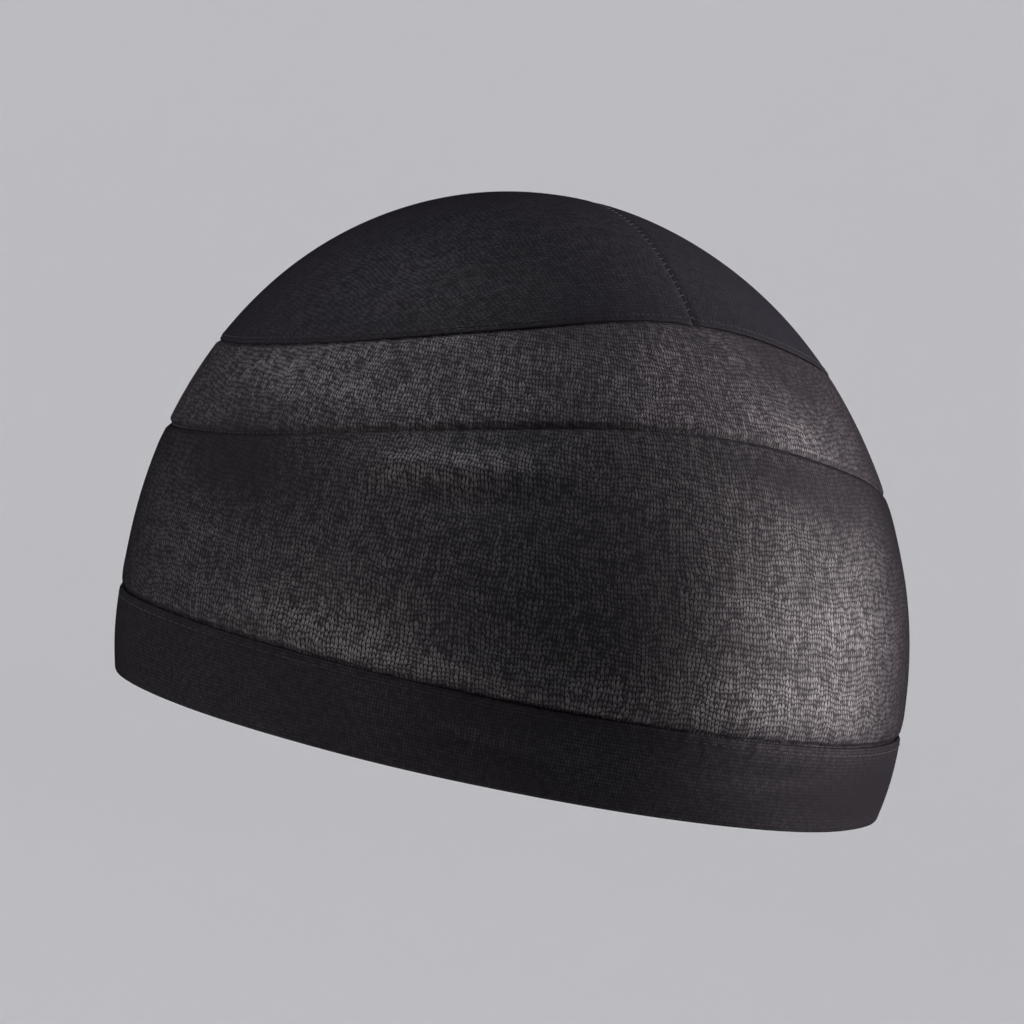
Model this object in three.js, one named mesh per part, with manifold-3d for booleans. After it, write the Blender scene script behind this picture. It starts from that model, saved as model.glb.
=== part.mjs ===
import * as THREE from 'three';
import { mergeVertices } from 'three/addons/utils/BufferGeometryUtils.js';
import Module from 'manifold-3d';

// A stretch-knit wave cap in its worn form, in millimetres.
// +Z is up, the front of the cap faces -Y, and +X is the wearer's left.
// The origin is the middle of the head opening, in the plane of the rim.

// Form of the cap, to the outside of the body panel
const halfBreadth = 78;
const frontReach = 107;
const backReach = 94;
const capHeight = 113;
const widestLevel = 21.5;
const crownSetback = 5;

// Draw-in of the rim below the widest level
const sideTuck = 1.8;
const frontTuck = 2.7;
const backTuck = 3.8;

// Exponents of the meridians above the widest level, where 2 is an ellipse and less is more pointed
const sideExponent = 2.03;
const frontExponent = 1.6;
const backExponent = 2.35;

// Walls of the knit panels and of the doubled hem band
const bandWall = 1.2;
const bodyWall = 1;
const upperWall = 1;
const crownWall = 1;

// Height of the hem band, how far it stands out, and the radius of its folded lower edge
const bandHeight = 17.5;
const bandStandOut = 0.2;
const foldRadius = 0.8;

// How far each panel reaches under the next at a seam, the free space between them,
// and how deep the sheer panel lies
const lapWidth = 5;
const seamClearance = 0.3;
const upperDepth = 0.2;

// Stretches over which a panel rises to its free height beside the seam that it runs under
const riseAtBand = 3.5;
const riseAtCrossSeam = 6;
const riseAtCrown = 5;

// The closing seam of the crown runs front to back, this far to the wearer's left of the middle
const closingSeamOffset = 5;

// Seam heights at the front, the sides and the back, and how much higher they are on the wearer's left,
// as shares of the cap's height
const crossSeam = { front: 0.654, side: 0.498, back: 0.489, leftRise: 0.017 };
const crownEdge = { front: 0.829, side: 0.681, back: 0.666, leftRise: 0.032 };

// Soft folds and hollows. The turn is in degrees from the front, positive to the wearer's left.
// The level is a share of the cap's height, the length and width are shares of its half breadth,
// the tilt is in degrees, and the rise is a share of the fold height.
const foldHeight = 1.4;
const folds = [
  { turn: -23, level: 0.188, length: 0.66, width: 0.085, tilt: -4, rise: 0.75 },
  { turn: -25, level: 0.236, length: 0.6, width: 0.075, tilt: -4, rise: -0.4 },
  { turn: -38, level: 0.556, length: 0.5, width: 0.085, tilt: 7, rise: 0.55 },
  { turn: -36, level: 0.512, length: 0.56, width: 0.09, tilt: 6, rise: -0.3 },
  { turn: -69, level: 0.435, length: 0.62, width: 0.15, tilt: -12, rise: -0.6 },
  { turn: -62, level: 0.345, length: 0.7, width: 0.12, tilt: -8, rise: 0.4 },
  { turn: -31, level: 0.073, length: 0.55, width: 0.06, tilt: -3, rise: -0.45 },
  { turn: 12, level: 0.093, length: 0.5, width: 0.06, tilt: 4, rise: -0.35 },
  { turn: 44, level: 0.43, length: 0.5, width: 0.14, tilt: 14, rise: -0.3 },
  { turn: 150, level: 0.26, length: 0.7, width: 0.12, tilt: -6, rise: 0.5 },
  { turn: -155, level: 0.29, length: 0.66, width: 0.12, tilt: 7, rise: 0.45 },
  { turn: 176, level: 0.4, length: 0.8, width: 0.13, tilt: 2, rise: -0.45 },
];

// Fineness of the faceted surface
const columns = 60;
const lapRows = 2;
const riseRows = 2;
const bodyRows = 11;
const upperRows = 7;
const crownRows = 9;
const bandRows = 4;
const foldSteps = 3;

const riseAboveWidest = capHeight - widestLevel;
const openingMiddle = (backReach - backTuck - frontReach + frontTuck) / 2;
const crownArc = Math.PI / 2;
const slopeAngle = 0.002;

// The arc tells a place's height: 0 at the widest level, a quarter turn at the crown, negative below
function arcAtLevel(level) {
  const share = (level - widestLevel) / riseAboveWidest;
  return share > 0 ? Math.asin(share) : share;
}

function levelAtArc(arc) {
  return widestLevel + riseAboveWidest * (arc > 0 ? Math.sin(arc) : arc);
}

// How far a meridian stands out from the middle at a height, for its reach, draw-in and exponent
function reachAt(level, reach, tuck, exponent) {
  if (level < widestLevel) {
    return reach - tuck * ((widestLevel - level) / widestLevel) ** 2;
  }
  const share = Math.min(1, (level - widestLevel) / riseAboveWidest);
  return reach * Math.sqrt(1 - share ** exponent);
}

// A point of the cap's form, from the turn round the head and the arc
function formPoint(turn, arc) {
  const level = levelAtArc(arc);
  const forward = Math.cos(turn);
  const sideways = reachAt(level, halfBreadth, sideTuck, sideExponent);
  const lengthways = forward > 0
    ? reachAt(level, frontReach, frontTuck, frontExponent)
    : reachAt(level, backReach, backTuck, backExponent);
  const setback = crownSetback * Math.sin(Math.max(0, arc)) ** 2;
  return new THREE.Vector3(
    sideways * Math.sin(turn),
    setback - lengthways * forward - openingMiddle,
    level,
  );
}

// The outward direction of the form, level below the widest level and straight up at the crown
function formNormal(turn, arc) {
  const safeArc = Math.min(arc, crownArc - 2 * slopeAngle);
  const round = formPoint(turn + slopeAngle, safeArc).sub(formPoint(turn - slopeAngle, safeArc));
  const up = formPoint(turn, safeArc + slopeAngle).sub(formPoint(turn, safeArc - slopeAngle));
  const normal = round.cross(up);
  if (arc <= 0) {
    normal.z = 0;
  }
  return arc > safeArc ? new THREE.Vector3(0, 0, 1) : normal.normalize();
}

// Height of all soft folds at a place, above the plain form
function foldRelief(turn, arc) {
  const girthRadius = (2 * halfBreadth + frontReach + backReach) / 4;
  let relief = 0;
  for (const fold of folds) {
    const away = turn - THREE.MathUtils.degToRad(fold.turn);
    const along = Math.atan2(Math.sin(away), Math.cos(away)) * girthRadius;
    const above = levelAtArc(arc) - fold.level * capHeight;
    const tilt = THREE.MathUtils.degToRad(fold.tilt);
    const lengthways = along * Math.cos(tilt) + above * Math.sin(tilt);
    const across = above * Math.cos(tilt) - along * Math.sin(tilt);
    const run = (2 * lengthways) / (fold.length * halfBreadth);
    const spread = (2 * across) / (fold.width * halfBreadth);
    relief += fold.rise * Math.exp(-run * run - spread * spread);
  }
  return foldHeight * relief;
}

// A point at a distance out from the form, folds included
function skinPoint(turn, arc, offset) {
  const normal = formNormal(turn, arc);
  return formPoint(turn, arc).addScaledVector(normal, offset + foldRelief(turn, arc));
}

// The arc of a seam at a turn round the head
function seamArc(seam, turn) {
  const forward = Math.cos(turn);
  const leftward = Math.sin(turn);
  const ends = ((seam.front + seam.back) / 2) * forward ** 2;
  const lean = ((seam.front - seam.back) / 2) * forward;
  const share = seam.side * leftward ** 2 + ends + lean + seam.leftRise * leftward;
  return arcAtLevel(share * capHeight);
}

const bandTopArc = () => arcAtLevel(bandHeight);
const crossSeamArc = (turn) => seamArc(crossSeam, turn);
const crownEdgeArc = (turn) => seamArc(crownEdge, turn);
const shifted = (edge, distance) => (turn) => edge(turn) + distance / riseAboveWidest;

// 0 at and below an edge, 1 where the panel has risen to its free height above it
function risenAbove(edgeArc, arc, stretch) {
  return THREE.MathUtils.smoothstep((arc - edgeArc) * riseAboveWidest, 0, stretch);
}

// Outer faces of the panels, as distances out from the form
const bandOuter = () => bandStandOut;
const bodyUnderBand = bandStandOut - bandWall - seamClearance;
const upperUnderBody = -bodyWall - seamClearance;
const upperUnderCrown = -crownWall - seamClearance;

function bodyOuter(turn, arc) {
  return bodyUnderBand * (1 - risenAbove(bandTopArc(), arc, riseAtBand));
}

function upperOuter(turn, arc) {
  const underBody = 1 - risenAbove(crossSeamArc(turn), arc, riseAtCrossSeam);
  const underCrown = 1 - risenAbove(arc, crownEdgeArc(turn), riseAtCrown);
  const lowerDip = (upperUnderBody + upperDepth) * underBody;
  const upperDip = (upperUnderCrown + upperDepth) * underCrown;
  return lowerDip + upperDip - upperDepth;
}

const crownOuter = () => 0;

// Arcs of a panel's rows at a turn, from its lowest to its highest edge
function rowArcs(turn, edges, rows) {
  const arcs = [edges[0](turn)];
  for (let zone = 0; zone < rows.length; zone += 1) {
    const low = edges[zone](turn);
    const high = edges[zone + 1](turn);
    for (let row = 1; row <= rows[zone]; row += 1) {
      arcs.push(low + ((high - low) * row) / rows[zone]);
    }
  }
  return arcs;
}

// A closed mesh from rings of points, each ring a full turn of columns or one pole point.
// The rings run up the outer face, and the last joins the first unless they are poles.
function meshFromRings(rings) {
  const positions = [];
  const rows = rings.map((ring) => {
    const first = positions.length / 3;
    ring.forEach((point) => positions.push(point.x, point.y, point.z));
    return ring.length === 1
      ? new Array(columns).fill(first)
      : ring.map((point, column) => first + column);
  });
  const joins = rings[0].length === 1 ? rows.length - 1 : rows.length;
  const index = [];
  for (let row = 0; row < joins; row += 1) {
    const lower = rows[row];
    const upper = rows[(row + 1) % rows.length];
    for (let column = 0; column < columns; column += 1) {
      const next = (column + 1) % columns;
      if (lower[column] !== lower[next]) {
        index.push(lower[column], lower[next], upper[next]);
      }
      if (upper[column] !== upper[next]) {
        index.push(lower[column], upper[next], upper[column]);
      }
    }
  }
  const geometry = new THREE.BufferGeometry();
  geometry.setAttribute('position', new THREE.Float32BufferAttribute(positions, 3));
  geometry.setIndex(index);
  return geometry;
}

// Rings of one face of a panel, from its lowest row to its highest, at a depth in from the outer face
function faceRings(edges, rows, outer, depth) {
  const rings = [];
  for (let column = 0; column < columns; column += 1) {
    const turn = (column / columns) * 2 * Math.PI;
    rowArcs(turn, edges, rows).forEach((arc, row) => {
      rings[row] ??= [];
      rings[row].push(skinPoint(turn, arc, outer(turn, arc) - depth));
    });
  }
  return rings;
}

// A panel that goes round the head as a wall between its lowest and highest edge
function roundPanel(edges, rows, outer, wall) {
  const outside = faceRings(edges, rows, outer, 0);
  const inside = faceRings(edges, rows, outer, wall);
  return meshFromRings([...outside, ...inside.reverse()]);
}

// A panel that closes over the crown, with its outer and inner pole
function domePanel(edge, rows, outer, wall) {
  const edges = [edge, () => crownArc];
  const outside = faceRings(edges, [rows], outer, 0);
  const inside = faceRings(edges, [rows], outer, wall);
  outside[rows].length = 1;
  inside[rows].length = 1;
  return meshFromRings([...inside.reverse(), ...outside]);
}

// The hem band: a doubled strip whose lower edge is folded round, with a flat foot in the rim plane
function hemBand() {
  const foldTopArc = arcAtLevel(foldRadius);
  const edges = [() => foldTopArc, bandTopArc];
  const outside = faceRings(edges, [bandRows], bandOuter, 0);
  const inside = faceRings(edges, [bandRows], bandOuter, bandWall);
  const fold = [];
  for (let step = 1; step <= foldSteps; step += 1) {
    const angle = (step / (foldSteps + 1)) * Math.PI;
    const arc = arcAtLevel(foldRadius * (1 - Math.sin(angle)));
    const depth = (bandWall * (1 - Math.cos(angle))) / 2;
    fold.unshift(faceRings([() => arc], [], bandOuter, depth)[0]);
  }
  return meshFromRings([...outside, ...inside.reverse(), ...fold]);
}

const wasm = await Module();
wasm.setup();

function solidFrom(geometry) {
  const vertProperties = new Float32Array(geometry.attributes.position.array);
  const triVerts = new Uint32Array(geometry.index.array);
  return new wasm.Manifold(new wasm.Mesh({ numProp: 3, vertProperties, triVerts }));
}

function geometryFrom(solid) {
  const mesh = solid.getMesh();
  const geometry = new THREE.BufferGeometry();
  geometry.setAttribute('position', new THREE.BufferAttribute(mesh.vertProperties, 3));
  geometry.setIndex(new THREE.BufferAttribute(mesh.triVerts, 1));
  return geometry;
}

// A closed block on one side of the closing seam, larger than the cap; side is 1 for the wearer's left
function sideBlock(side) {
  const reach = 2 * (frontReach + backReach);
  const block = new THREE.BoxGeometry(reach, reach, reach);
  block.translate(closingSeamOffset + (side * (reach + seamClearance)) / 2, 0, 0);
  block.deleteAttribute('normal');
  block.deleteAttribute('uv');
  return solidFrom(mergeVertices(block));
}

function crownHalf(side) {
  const dome = domePanel(crownEdgeArc, crownRows, crownOuter, crownWall);
  return geometryFrom(solidFrom(dome).intersect(sideBlock(side)));
}

const finishes = {
  band: { color: 0x161517, roughness: 0.85, metalness: 0 },
  body: { color: 0x232124, roughness: 0.8, metalness: 0 },
  upper: { color: 0x302d30, roughness: 0.75, metalness: 0 },
  crown: { color: 0x1d1c1f, roughness: 0.8, metalness: 0 },
};

function piece(name, geometry, finish) {
  geometry.computeVertexNormals();
  const mesh = new THREE.Mesh(geometry, new THREE.MeshStandardMaterial(finish));
  mesh.name = name;
  return mesh;
}

const bodyEdges = [
  shifted(bandTopArc, -lapWidth),
  bandTopArc,
  shifted(bandTopArc, riseAtBand),
  crossSeamArc,
];
const upperEdges = [
  shifted(crossSeamArc, -lapWidth),
  crossSeamArc,
  crownEdgeArc,
  shifted(crownEdgeArc, lapWidth),
];

const cap = new THREE.Group();
cap.add(piece('rim_band', hemBand(), finishes.band));
cap.add(piece(
  'body_panel',
  roundPanel(bodyEdges, [lapRows, riseRows, bodyRows], bodyOuter, bodyWall),
  finishes.body,
));
cap.add(piece(
  'upper_panel',
  roundPanel(upperEdges, [lapRows, upperRows, lapRows], upperOuter, upperWall),
  finishes.upper,
));
cap.add(piece('crown_right', crownHalf(-1), finishes.crown));
cap.add(piece('crown_left', crownHalf(1), finishes.crown));

export default cap;
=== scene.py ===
"""Stretch-knit wave cap in its worn form: the cloth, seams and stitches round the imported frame.

Lengths are metres. +Z is up, the front of the cap faces -Y and +X is the wearer's left.
Places on the cap are given by a turn, in radians from the front and positive to the wearer's
left, and by an arc, which is 0 at the widest level and a quarter turn at the crown. Below the
widest level the arc goes on below zero in step with the height.
"""

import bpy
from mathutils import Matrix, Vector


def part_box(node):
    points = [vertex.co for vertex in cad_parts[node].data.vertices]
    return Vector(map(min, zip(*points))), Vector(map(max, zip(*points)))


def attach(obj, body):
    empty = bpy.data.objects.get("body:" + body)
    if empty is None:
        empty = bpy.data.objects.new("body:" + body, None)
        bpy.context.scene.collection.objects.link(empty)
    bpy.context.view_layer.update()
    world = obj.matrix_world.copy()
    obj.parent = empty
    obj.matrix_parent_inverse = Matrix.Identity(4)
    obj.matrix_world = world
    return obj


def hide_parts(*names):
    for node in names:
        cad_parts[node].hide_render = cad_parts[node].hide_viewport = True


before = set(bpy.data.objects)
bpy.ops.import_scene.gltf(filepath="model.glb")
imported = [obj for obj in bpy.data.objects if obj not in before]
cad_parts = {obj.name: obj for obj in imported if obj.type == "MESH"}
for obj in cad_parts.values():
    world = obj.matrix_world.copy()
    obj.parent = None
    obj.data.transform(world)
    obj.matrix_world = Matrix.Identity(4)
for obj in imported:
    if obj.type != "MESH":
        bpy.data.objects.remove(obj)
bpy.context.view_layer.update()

import logging
import math
from dataclasses import dataclass, field, replace
from enum import Enum

import bmesh
import bpy
import numpy as np
from bmesh.types import BMEdge, BMesh
from bpy.types import Material, Mesh, Node, NodeSocket, NodeTree, Object
from mathutils import Matrix, Vector

LOG = logging.getLogger("wave_cap")

MM = 0.001
FULL_TURN = 2.0 * math.pi
CROWN_ARC = 0.5 * math.pi
WELD_GAP = 1e-7
BODY = "root"

Array = np.ndarray
Colour = tuple[float, float, float]


class Side(Enum):
    """The wearer's side that a crown half lies on; the value is its direction along X."""

    RIGHT = -1
    LEFT = 1


@dataclass(frozen=True)
class Places:
    """Places on the cap: turns round the head and arcs up it, of shapes that go together."""

    turn: Array
    arc: Array


def eased(distance: Array, stretch: float) -> Array:
    """A smooth step that rises over a stretch: 0 up to its start, 1 from its end on."""
    share = np.clip(distance / stretch, 0.0, 1.0)
    return share * share * (3.0 - 2.0 * share)


@dataclass(frozen=True)
class Meridian:
    """How the form stands out in one direction: its reach, draw-in at the rim and exponent."""

    reach: float
    tuck: float
    exponent: float

    def stand_out(self, level: Array, widest: float, rise: float) -> Array:
        """The form's distance from its middle.

        Args:
            level: heights above the rim.
            widest: the widest level.
            rise: the height of the crown above the widest level.

        Returns:
            One distance for each height.
        """
        below = np.clip((widest - level) / widest, 0.0, None)
        above = np.clip((level - widest) / rise, 0.0, 1.0)
        lower = self.reach - self.tuck * below**2
        upper = self.reach * np.sqrt(1.0 - above**self.exponent)
        return np.where(level < widest, lower, upper)


@dataclass(frozen=True)
class SoftPatch:
    """A soft-edged oblong on the cap: a fold, or a patch of painted light and shade in the knit's
    openness.

    The turn and tilt are degrees, the level is a share of the cap's height, and the length and
    width are shares of its half breadth. The amount at its middle is a share of the fold height,
    or of full openness, and is below zero for a hollow. An openness patch above zero lightens the
    knit's colour and gloss as a painted highlight, and one below zero darkens them as painted
    shade.
    """

    turn: float
    level: float
    length: float
    width: float
    tilt: float
    amount: float


def soft_patches(*rows: tuple[float, ...]) -> tuple[SoftPatch, ...]:
    """Makes patches from rows that give a turn, level, length, width, tilt and amount."""
    return tuple(SoftPatch(*row) for row in rows)


FOLDS = soft_patches(
    (-23, 0.188, 0.66, 0.075, -4, 0.75),
    (-25, 0.236, 0.60, 0.070, -4, -0.40),
    (-41, 0.518, 0.50, 0.070, 7, 1.25),
    (-38, 0.473, 0.54, 0.080, 6, -0.55),
    (-76, 0.450, 0.66, 0.160, -8, -0.70),
    (-62, 0.345, 0.70, 0.120, -8, 0.40),
    (-31, 0.073, 0.55, 0.050, -3, -0.45),
    (12, 0.093, 0.50, 0.050, 4, -0.35),
    (44, 0.430, 0.50, 0.140, 14, -0.30),
    (150, 0.260, 0.70, 0.120, -6, 0.50),
    (-155, 0.290, 0.66, 0.120, 7, 0.45),
    (176, 0.400, 0.80, 0.130, 2, -0.45),
)

# Painted highlights (amounts above zero) and painted shade (amounts below zero), laid into the
# knit's openness, which lightens and darkens its colour and gloss.
OPENINGS_AND_PAINTED_LIGHT = soft_patches(
    (-80, 0.450, 0.66, 0.250, -4, -0.50),
    (-52, 0.205, 0.70, 0.110, -4, 0.60),
    (-41, 0.522, 0.44, 0.064, 7, 0.85),
    (-18, 0.460, 0.55, 0.400, 0, -0.14),
    (-16, 0.080, 0.70, 0.160, 0, 0.60),
    (-16, 0.200, 0.56, 0.090, -3, 0.22),
    (4, 0.200, 0.30, 0.120, 0, 0.20),
    (5, 0.380, 0.20, 0.080, 0, 0.16),
    (19, 0.425, 0.24, 0.070, -6, -0.18),
    (10, 0.605, 0.60, 0.090, -2, -0.18),
    (53, 0.520, 0.40, 0.260, 0, -0.14),
    (7, 0.765, 0.36, 0.130, 0, -0.14),
    (-64, 0.800, 0.90, 0.220, 0, 0.45),
    (-70, 0.612, 0.70, 0.070, 0, 0.40),
    (-26, 0.690, 0.50, 0.200, 0, -0.14),
    (30, 0.370, 0.40, 0.120, -6, 0.22),
    (30, 0.230, 0.40, 0.100, -6, 0.14),
    (24, 0.668, 0.34, 0.070, -6, 0.35),
    (26, 0.575, 0.62, 0.180, -6, -0.40),
    (62, 0.400, 0.50, 0.800, 0, -0.25),
    (54, 0.640, 0.80, 0.360, -8, -0.36),
    (36, 0.070, 0.90, 0.160, 0, -0.60),
    (50, 0.900, 0.90, 0.300, 0, -0.40),
    (14, 0.290, 0.40, 0.060, -4, -0.14),
    (-14, 0.800, 0.80, 0.120, 4, -0.30),
    (-4, 0.230, 0.60, 0.120, 0, 0.22),
    (30, 0.775, 0.60, 0.150, -6, -0.45),
    (-74, 0.640, 0.60, 0.160, 0, 0.30),
    (-140, 0.330, 0.80, 0.300, 0, 0.15),
    (150, 0.420, 0.90, 0.300, 0, -0.15),
)


@dataclass(frozen=True)
class Wave:
    """A slight wave in the knit: its share of the ripple and its number in a full turn.

    The climb is how fast its phase grows with the arc, and the start is its phase, in radians.
    """

    share: float
    count: int
    climb: float
    start: float

    def height(self, at: Places) -> Array:
        """The wave's height at each place, in shares of the ripple."""
        return self.share * np.sin(self.count * at.turn + self.climb * at.arc + self.start)


WAVES = (Wave(1.0, 7, 2.1, 0.6), Wave(0.7, 11, -5.3, 2.0), Wave(0.6, 4, 9.0, 1.1))


@dataclass(frozen=True)
class SeamLine:
    """A line round the head, given by its heights at the front, sides and back.

    The heights and the rise on the wearer's left are shares of the cap's height, and the shift
    is a distance up along the cloth.
    """

    front: float
    side: float
    back: float
    left_rise: float = 0.0
    shift: float = 0.0

    def level_share(self, turn: Array) -> Array:
        """Finds how high the line runs.

        Args:
            turn: turns round the head.

        Returns:
            Its height at each turn, as a share of the cap's height.
        """
        forward, leftward = np.cos(turn), np.sin(turn)
        ends = 0.5 * (self.front + self.back) * forward**2
        lean = 0.5 * (self.front - self.back) * forward
        return self.side * leftward**2 + ends + lean + self.left_rise * leftward

    def shifted(self, distance: float) -> "SeamLine":
        """The same line, a distance further up along the cloth."""
        return replace(self, shift=self.shift + distance)


CROSS_SEAM = SeamLine(front=0.654, side=0.498, back=0.489, left_rise=0.017)
CROWN_EDGE = SeamLine(front=0.829, side=0.681, back=0.666, left_rise=0.032)


@dataclass(frozen=True)
class Weave:
    """The size of a knit: stitches in a full turn, and the height of one course."""

    wales: int
    course: float


@dataclass
class CapForm:
    """The form that the knit is stretched over, measured to the outside of the body panel."""

    side: Meridian
    front: Meridian
    back: Meridian
    height: float
    band_height: float
    axis_y: float
    widest: float = 21.5 * MM
    crown_setback: float = 5.0 * MM
    fold_height: float = 1.4 * MM
    ripple: float = 0.16 * MM
    pucker: float = 0.05 * MM
    pucker_reach: float = 5.0 * MM
    puckers_round: int = 83
    fine_puckers_round: int = 131
    usual_openness: float = 0.5
    least_openness: float = 0.1
    # The holds beside the seams darken the knit's colour and gloss there. This stands for knit
    # held closer, and it is also painted shade along the seams.
    seam_hold_and_shade: float = 0.22
    crown_hold_and_shade: float = 0.08
    seam_reach: float = 1.2 * MM

    @classmethod
    def from_frame(cls) -> "CapForm":
        """Reads the form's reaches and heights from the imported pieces.

        Returns:
            The form.
        """
        axis_y = 7.05 * MM
        low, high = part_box("body_panel")
        return cls(
            side=Meridian(reach=0.5 * (high[0] - low[0]), tuck=1.8 * MM, exponent=2.03),
            front=Meridian(reach=axis_y - low[1], tuck=2.7 * MM, exponent=1.6),
            back=Meridian(reach=high[1] - axis_y, tuck=3.8 * MM, exponent=2.35),
            height=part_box("crown_right")[1][2],
            band_height=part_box("rim_band")[1][2],
            axis_y=axis_y,
        )

    @property
    def rise(self) -> float:
        """The height of the crown above the widest level."""
        return self.height - self.widest

    @property
    def girth_radius(self) -> float:
        """The mean radius of the head opening's plan."""
        return 0.25 * (2.0 * self.side.reach + self.front.reach + self.back.reach)

    @property
    def girth(self) -> float:
        """The mean distance round the head."""
        return FULL_TURN * self.girth_radius

    @property
    def band_top(self) -> SeamLine:
        """The upper edge of the hem band."""
        share = self.band_height / self.height
        return SeamLine(share, share, share)

    def line_arc(self, line: SeamLine, turn: Array) -> Array:
        """Finds where a line runs on the cloth.

        Args:
            line: the line.
            turn: turns round the head.

        Returns:
            Its arc at each turn.
        """
        share = (line.level_share(turn) * self.height - self.widest) / self.rise
        arc = np.where(share > 0.0, np.arcsin(np.clip(share, 0.0, 1.0)), share)
        return arc + line.shift / self.rise

    def above(self, line: SeamLine, at: Places) -> Array:
        """How far each place lies above a line, along the cloth."""
        return (at.arc - self.line_arc(line, at.turn)) * self.rise

    def beside(self, line: SeamLine, reach: float, at: Places) -> Array:
        """How near each place lies to a line: 1 on it, falling off over a reach."""
        return np.exp(-((self.above(line, at) / reach) ** 2))

    def level(self, arc: Array) -> Array:
        """The height above the rim plane at each arc."""
        return self.widest + self.rise * np.where(arc > 0.0, np.sin(arc), arc)

    def point(self, at: Places) -> Array:
        """Finds places on the smooth form.

        Args:
            at: the places.

        Returns:
            Their X, Y and Z in the last axis.
        """
        level = self.level(at.arc)
        forward = np.cos(at.turn)
        sideways = self.side.stand_out(level, self.widest, self.rise)
        ahead = self.front.stand_out(level, self.widest, self.rise)
        behind = self.back.stand_out(level, self.widest, self.rise)
        lengthways = np.where(forward > 0.0, ahead, behind)
        setback = self.crown_setback * np.sin(np.clip(at.arc, 0.0, None)) ** 2
        across = sideways * np.sin(at.turn)
        along = self.axis_y + setback - lengthways * forward
        return np.stack(np.broadcast_arrays(across, along, level), axis=-1)

    def normal(self, at: Places) -> Array:
        """Finds the smooth form's outward directions, level below its widest level.

        Args:
            at: the places.

        Returns:
            Directions of length 1 in the last axis.
        """
        step = 0.002
        arc = np.minimum(at.arc, CROWN_ARC - 2.0 * step)
        left, right = Places(at.turn + step, arc), Places(at.turn - step, arc)
        upper, lower = Places(at.turn, arc + step), Places(at.turn, arc - step)
        round_way = self.point(left) - self.point(right)
        normal = np.cross(round_way, self.point(upper) - self.point(lower))
        normal[..., 2] = np.where(at.arc <= 0.0, 0.0, normal[..., 2])
        normal /= np.linalg.norm(normal, axis=-1, keepdims=True)
        at_pole = (at.arc > arc)[..., None]
        return np.where(at_pole, np.array([0.0, 0.0, 1.0]), normal)

    def patches(self, table: tuple[SoftPatch, ...], at: Places) -> Array:
        """Adds up the amounts of soft patches.

        Args:
            table: the patches.
            at: the places.

        Returns:
            The sum at each place.
        """
        total = np.zeros(np.broadcast(at.turn, at.arc).shape)
        level = self.level(at.arc)
        for patch in table:
            away = at.turn - math.radians(patch.turn)
            along = np.arctan2(np.sin(away), np.cos(away)) * self.girth_radius
            above = level - patch.level * self.height
            tilt = math.radians(patch.tilt)
            lengthways = along * math.cos(tilt) + above * math.sin(tilt)
            across = above * math.cos(tilt) - along * math.sin(tilt)
            run = 2.0 * lengthways / (patch.length * self.side.reach)
            spread = 2.0 * across / (patch.width * self.side.reach)
            total += patch.amount * np.exp(-(run**2) - spread**2)
        return total

    def openness_and_painted_light(self, at: Places) -> Array:
        """Tells how far the knit is drawn open, with the painted highlights and painted shade of
        the openness patches, and painted shade beside the seams.

        Args:
            at: the places.

        Returns:
            An openness from 0 to 1 at each place, painted light and shade included.
        """
        # Painted shade along the seams, as knit held closer there.
        held_and_shaded = sum(
            hold * self.beside(line, self.seam_reach, at)
            for line, hold in ((CROSS_SEAM, self.seam_hold_and_shade), (CROWN_EDGE, self.crown_hold_and_shade))
        )
        opened_and_painted_light = self.usual_openness + self.patches(OPENINGS_AND_PAINTED_LIGHT, at) - held_and_shaded
        return np.clip(opened_and_painted_light, self.least_openness, 1.0)

    def fine_relief(self, at: Places) -> Array:
        """Adds up the slight waves in the stretched knit and the puckers beside the seams.

        Args:
            at: the places.

        Returns:
            A height at each place.
        """
        fade = np.cos(np.clip(at.arc, 0.0, CROWN_ARC))
        waves = sum(wave.height(at) for wave in WAVES)
        beat = np.sin(self.puckers_round * at.turn + 1.4 * np.sin(9 * at.turn))
        beat = beat + 0.6 * np.sin(self.fine_puckers_round * at.turn + 0.8)
        seams = (self.band_top, CROSS_SEAM, CROWN_EDGE)
        sewn = sum(self.beside(line, self.pucker_reach, at) for line in seams)
        return fade * (self.ripple * waves + self.pucker * sewn * beat)

    def skin(self, at: Places, offset: Array) -> Array:
        """Finds places on the cloth, with all its folds and waves.

        Args:
            at: the places on the form.
            offset: how far out from the form each one lies, folds and waves apart.

        Returns:
            Their X, Y and Z in the last axis.
        """
        folds = self.fold_height * self.patches(FOLDS, at)
        out = offset + folds + self.fine_relief(at)
        return self.point(at) + self.normal(at) * np.asarray(out)[..., None]


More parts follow.
